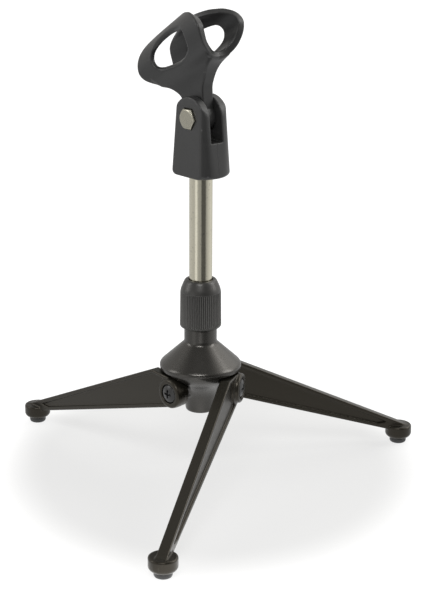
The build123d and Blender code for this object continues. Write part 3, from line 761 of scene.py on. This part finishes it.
for side, angle in LEG_ANGLES.items():
    piece("leg_" + side + "_casting", turn(leg, angle), leg_faces,
          side + "_leg", "leg_" + side, M_LEG, "cast_black")
    piece("pad_" + side + "_rubber", turn(pad, angle), pad_faces,
          side + "_leg", "foot_pad_" + side, M_RUBBER, "pad_rubber")
    piece("screw_" + side, turn(screw, angle), screw_faces,
          "stand_base", "leg_pivot_screws", M_SCREW, "screw_black")

# ------------------------------------------------------------------ camera
cam_data = bpy.data.cameras.new("camera")
cam = bpy.data.objects.new("camera", cam_data)
scene.collection.objects.link(cam)
cam_data.sensor_width = 36.0
cam_data.sensor_fit = "AUTO"
cam_data.lens = 96.3525
cam.location = Vector((-0.523205982, -0.599510055, 0.352522004)) + Vector(AXIS)
cam.rotation_euler = [math.radians(a) for a in (72.244850, -0.323053573, -41.621488)]
scene.camera = cam

# ------------------------------------------------------------------ surroundings
# Places are given as seen from the camera: right, back (towards the camera) and up.
VIEW_COS, VIEW_SIN = 0.748, 0.664       # of the camera's bearing

# radiance by bearing, (degrees to the right of the camera's side, radiance)
HORIZON = [(-180, 0.60), (-120, 0.70), (-75, 0.62), (-62, 0.62), (-52, 1.10), (-38, 1.05),
           (-30, 0.55), (-12, 0.42), (2, 0.42), (9, 0.11), (46, 0.11), (54, 0.42),
           (85, 0.75), (110, 0.90), (180, 0.60)]
HIGH = [(-180, 0.18), (-155, 0.6), (-110, 0.8), (-70, 0.40), (-30, 0.15), (0, 0.10),
        (30, 0.15), (60, 0.5), (100, 1.8), (150, 1.8), (180, 0.18)]
ZENITH = 0.25
FLOOR_GREY = (0.22, 0.22, 0.218, 1)
SHADOW_POOL_LEVEL = 0.625      # painted shadow: the floor's glow under the stand drops to this, where 1 is white
NEAR_GLOW_LEVEL = 0.80       # painted glow of the floor close by, seen only in the stand's reflections
GLOWING_STRIP_LEVEL = 1.3       # extra painted glow in the strip, which puts a painted sheen down the middle of the stand


def view_axes(graph, x, y):
    right = graph.sub(graph.mul(x, VIEW_COS), graph.mul(y, VIEW_SIN))
    back = graph.add(graph.mul(x, -VIEW_SIN), graph.mul(y, -VIEW_COS))
    return right, back


def compass(graph, right, back, stops):
    """Radiance by bearing."""
    bearing = graph.calc("ARCTAN2", right, back)
    turned = graph.remap(bearing, span=(-math.pi, math.pi), to=(0.0, 1.0))
    ramp = graph.new("ShaderNodeValToRGB", {0: turned})
    elements = ramp.color_ramp.elements
    for element, (degrees, level) in zip((elements[0], elements[1]), (stops[0], stops[-1])):
        element.position = degrees / 360 + 0.5
        element.color = (level, level, level, 1)
    for degrees, level in stops[1:-1]:
        elements.new(degrees / 360 + 0.5).color = (level, level, level, 1)
    return graph.new("ShaderNodeSeparateColor", {0: ramp.outputs[0]}).outputs[0]


def shade_floor(material):
    """White, with a painted shadow pool under the stand, and a painted glow that is seen only in
    reflections.
    """
    graph = Graph(material)
    inputs = graph.tree.nodes["Principled BSDF"].inputs
    inputs["Base Color"].default_value = FLOOR_GREY
    inputs["Roughness"].default_value = 0.9
    inputs["Specular IOR Level"].default_value = 0.0
    inputs["Emission Color"].default_value = (1, 1, 1, 1)
    x, y, _ = graph.xyz(graph.new("ShaderNodeNewGeometry").outputs["Position"])
    right, back = view_axes(graph, graph.sub(x, float(AXIS[0])), graph.sub(y, float(AXIS[1])))

    # the painted shadow pool is an ellipse: centre, then half width
    across = graph.calc("DIVIDE", graph.sub(right, 0.0060), 0.1110)
    deep = graph.calc("DIVIDE", graph.sub(back, -0.018), 0.136)
    shadow_pool = graph.hypot(across, deep)
    seen = graph.remap(shadow_pool, span=(0.80, 1.22), to=(SHADOW_POOL_LEVEL, 1.0), smooth=True)

    # seen only in reflections, the floor glows as a painted light: bright close by, the room
    # further out, and a glowing strip towards the camera
    far = graph.hypot(right, back)
    near = graph.remap(far, span=(0.15, 0.25), to=(1.0, 0.0), smooth=True)
    room = compass(graph, right, back, HORIZON)
    reflected_glow = graph.add(graph.mul(near, NEAR_GLOW_LEVEL), graph.mul(room, graph.sub(1.0, near)))
    offside = graph.calc("ABSOLUTE", right)
    glowing_strip = graph.mul(graph.remap(offside, span=(0.012, 0.060), to=(1.0, 0.0), smooth=True),
                      graph.remap(back, span=(0.02, 0.16), to=(0.12, 1.0), smooth=True))
    end = graph.remap(back, span=(0.22, 0.30), to=(1.0, 0.0), smooth=True)
    reflected_glow = graph.add(reflected_glow, graph.mul(graph.mul(glowing_strip, end), GLOWING_STRIP_LEVEL))

    # glossy rays see the painted glow; other rays see the white floor with its painted shadow
    # pool
    glossy = graph.new("ShaderNodeLightPath").outputs["Is Glossy Ray"]
    graph.put(inputs["Base Color"], graph.mix(glossy, FLOOR_GREY, (0.0, 0.0, 0.0, 1)))
    graph.put(inputs["Emission Strength"], graph.add(
        graph.mul(glossy, reflected_glow), graph.mul(graph.sub(1.0, glossy), seen)))


def shade_world(world):
    """A room that lights the stand; the camera sees plain white."""
    graph = Graph(world)
    nodes = graph.tree.nodes
    x, y, z = graph.xyz(graph.new("ShaderNodeTexCoord").outputs["Generated"])
    right, back = view_axes(graph, x, y)
    high = graph.remap(z, span=(0.15, 0.55), to=(0.0, 1.0), smooth=True)
    top = graph.remap(z, span=(0.80, 0.95), to=(0.0, 1.0), smooth=True)
    level = graph.add(
        graph.mul(compass(graph, right, back, HORIZON), graph.sub(1.0, high)),
        graph.mul(high, compass(graph, right, back, HIGH)))
    level = graph.add(graph.mul(level, graph.sub(1.0, top)), graph.mul(top, ZENITH))
    room = nodes["Background"]
    graph.put(room.inputs["Strength"], level)
    room.inputs["Color"].default_value = (1.0, 0.985, 0.955, 1)
    white = graph.new("ShaderNodeBackground", {"Strength": 1.0})
    camera_ray = graph.new("ShaderNodeLightPath").outputs["Is Camera Ray"]
    inputs = {0: camera_ray, 1: room.outputs[0], 2: white.outputs[0]}
    shown = graph.new("ShaderNodeMixShader", inputs).outputs[0]
    graph.put(nodes["World Output"].inputs[0], shown)


def area(name, right, back, up, aim_z, size, watts):
    """A rectangular light aimed at a height above the frame's origin."""
    data = bpy.data.lights.new(name, "AREA")
    data.shape = "RECTANGLE"
    data.size, data.size_y = size
    data.energy = watts
    obj = bpy.data.objects.new(name, data)
    scene.collection.objects.link(obj)
    obj.location = Vector((VIEW_COS * right - VIEW_SIN * back,
                           -VIEW_SIN * right - VIEW_COS * back, up))
    aim = Vector((0, 0, aim_z)) - obj.location
    obj.rotation_euler = aim.to_track_quat("-Z", "Y").to_euler()


floor_mesh = bpy.data.meshes.new("floor")
floor_mesh.from_pydata([(-8, -8, 0), (8, -8, 0), (8, 8, 0), (-8, 8, 0)], [], [(0, 1, 2, 3)])
floor = bpy.data.objects.new("floor", floor_mesh)
scene.collection.objects.link(floor)
floor_material = bpy.data.materials.new("floor_pale")
shade_floor(floor_material)
floor_mesh.materials.append(floor_material)

scene.world = bpy.data.worlds.new("studio")
shade_world(scene.world)

area("key_front", right=-0.12, back=1.2, up=1.30, aim_z=0.12, size=(0.7, 0.45), watts=10.0)
area("side_left", right=-1.5, back=0.1, up=0.8, aim_z=0.12, size=(0.5, 1.0), watts=5.0)
area("side_right", right=1.4, back=-0.1, up=0.9, aim_z=0.12, size=(0.5, 1.0), watts=6.0)
area("top", right=0.0, back=-0.3, up=1.7, aim_z=0.1, size=(1.0, 1.0), watts=1.5)
scene.view_settings.view_transform = "Standard"
